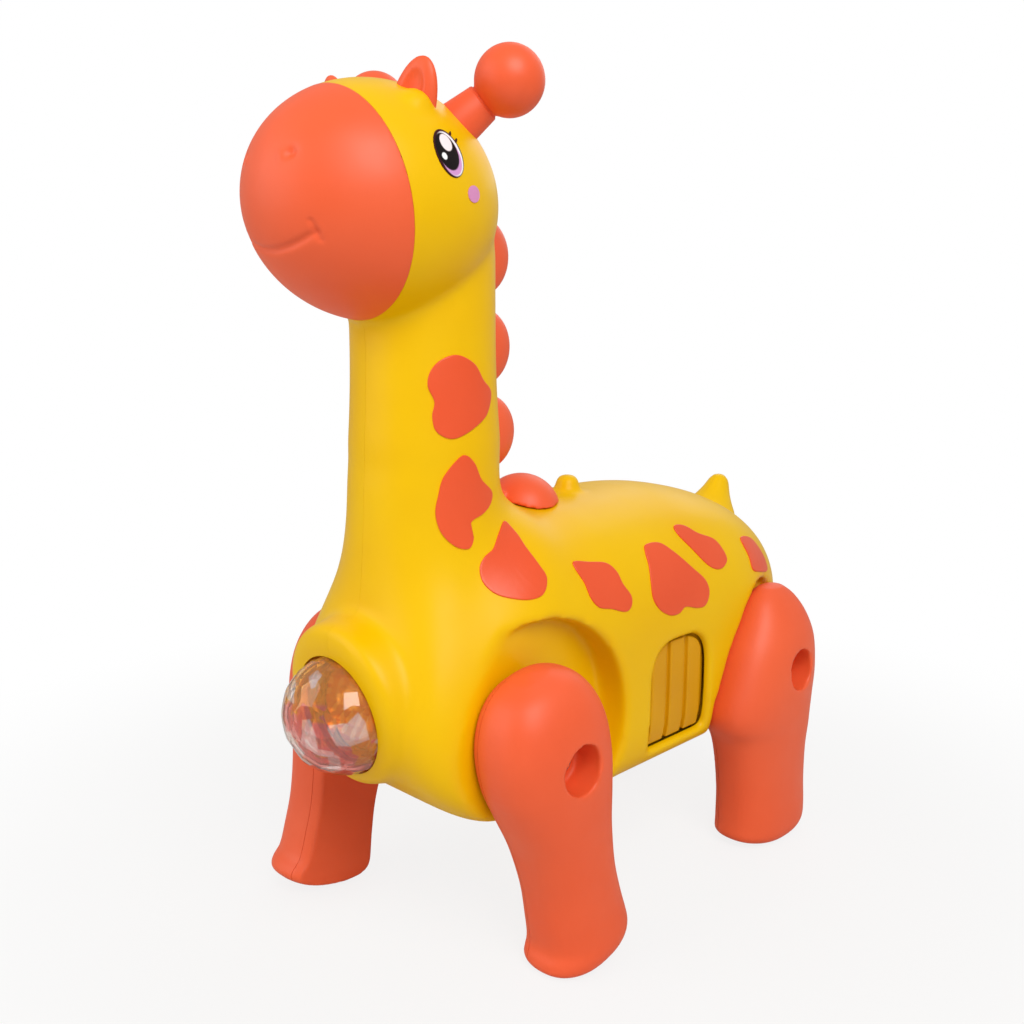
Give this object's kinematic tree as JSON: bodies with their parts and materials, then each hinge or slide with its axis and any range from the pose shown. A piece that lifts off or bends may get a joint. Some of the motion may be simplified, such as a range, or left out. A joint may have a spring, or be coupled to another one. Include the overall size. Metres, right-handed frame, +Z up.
{
  "type": "walking animal toy",
  "caption": "Battery walking giraffe toy: long-necked moulded casing with muzzle, ears, ball horns, lobed mane, clear chest lamp, grilles, swinging front legs and fixed rear legs.",
  "frame": {"origin": "middle of the box around the toy, on the floor it stands on", "axes": "+X to the toy's left, -Y the way it faces, +Z up"},
  "size_m": [0.1104, 0.2006, 0.2389],
  "materials": {
    "yellow_shell": "satin moulded, warm yellow",
    "orange_moulding": "satin moulded, orange red",
    "clear_moulding": "clear, cut in irregular facets",
    "white_moulding": "natural white acetal",
    "grey_moulding": "dark grey, fine texture",
    "steel": "zinc plated",
    "motor_can": "bright can",
    "board": "green solder mask",
    "cell": "plain printed sleeve"
  },
  "bodies": {
    "casing": {"body_casing_left": "yellow_shell", "body_casing_right": "yellow_shell", "side_grille_left": "yellow_shell", "side_grille_right": "yellow_shell", "mane": "orange_moulding", "muzzle": "orange_moulding", "ear_left": "orange_moulding", "ear_right": "orange_moulding", "horn_left": "orange_moulding", "horn_right": "orange_moulding", "rear_leg_outer_left": "orange_moulding", "rear_leg_outer_right": "orange_moulding", "rear_leg_cover_left": "orange_moulding", "rear_leg_cover_right": "orange_moulding", "lamp_lens": "clear_moulding", "lamp_led": "clear_moulding", "lamp_reflector": "white_moulding", "speaker": "grey_moulding", "battery_box": "grey_moulding", "switch_body": "grey_moulding", "gear_plate_left": "grey_moulding", "gear_plate_right": "grey_moulding", "casing_screw_1": "steel", "casing_screw_2": "steel", "casing_screw_3": "steel", "casing_screw_4": "steel", "rear_leg_screw_left": "steel", "rear_leg_screw_right": "steel", "battery_contact_front": "steel", "battery_contact_rear": "steel", "second_gear_pin": "steel", "first_gear_pin": "steel", "motor": "motor_can", "circuit_board": "board", "lamp_board": "board", "battery_1": "cell", "battery_2": "cell", "battery_3": "cell"},
    "front_leg_left": {"front_leg_outer_left": "orange_moulding", "front_leg_cover_left": "orange_moulding", "front_leg_screw_left": "steel", "rocker_left": "white_moulding"},
    "front_leg_right": {"front_leg_outer_right": "orange_moulding", "front_leg_cover_right": "orange_moulding", "front_leg_screw_right": "steel", "rocker_right": "white_moulding"},
    "crank": {"crank_gear": "white_moulding", "crank_shaft": "steel", "crank_left": "white_moulding", "crank_right": "white_moulding"},
    "second_gear": {"second_gear": "white_moulding"},
    "first_gear": {"first_gear": "white_moulding"},
    "motor_pinion": {"motor_pinion": "steel"},
    "switch": {"switch_slider": "grey_moulding"},
    "battery_door": {"battery_door": "yellow_shell", "battery_door_screw": "steel"}
  },
  "joints": [
    {"name": "front_leg_left_swing", "type": "hinge", "parent": "casing", "child": "front_leg_left", "pos_m": [0.0413, -0.048, 0.063], "axis": [1, 0, 0], "range_deg": [-31, 5]},
    {"name": "front_leg_right_swing", "type": "hinge", "parent": "casing", "child": "front_leg_right", "pos_m": [-0.0413, -0.048, 0.063], "axis": [1, 0, 0], "range_deg": [-5, 31]},
    {"name": "crank_spin", "type": "hinge", "parent": "casing", "child": "crank", "pos_m": [0, -0.034, 0.083], "axis": [1, 0, 0], "continuous": true},
    {"name": "second_gear_spin", "type": "hinge", "parent": "casing", "child": "second_gear", "pos_m": [0, -0.02403, 0.09051], "axis": [1, 0, 0], "continuous": true},
    {"name": "first_gear_spin", "type": "hinge", "parent": "casing", "child": "first_gear", "pos_m": [0, -0.02187, 0.1028], "axis": [1, 0, 0], "continuous": true},
    {"name": "motor_pinion_spin", "type": "hinge", "parent": "casing", "child": "motor_pinion", "pos_m": [0, -0.03416, 0.10497], "axis": [1, 0, 0], "continuous": true},
    {"name": "switch_slide", "type": "slide", "parent": "casing", "child": "switch", "axis": [0, -1, 0], "range_m": [0, 0.0035]},
    {"name": "battery_door_lift", "type": "slide", "parent": "casing", "child": "battery_door", "axis": [0, 0, -1], "range_m": [0, 0.034]}
  ],
  "couplings": [
    {"joint": "front_leg_right_swing", "follows": "front_leg_left_swing", "ratio": -1},
    {"joint": "second_gear_spin", "follows": "crank_spin", "ratio": -3},
    {"joint": "first_gear_spin", "follows": "crank_spin", "ratio": 9},
    {"joint": "motor_pinion_spin", "follows": "crank_spin", "ratio": -27}
  ]
}
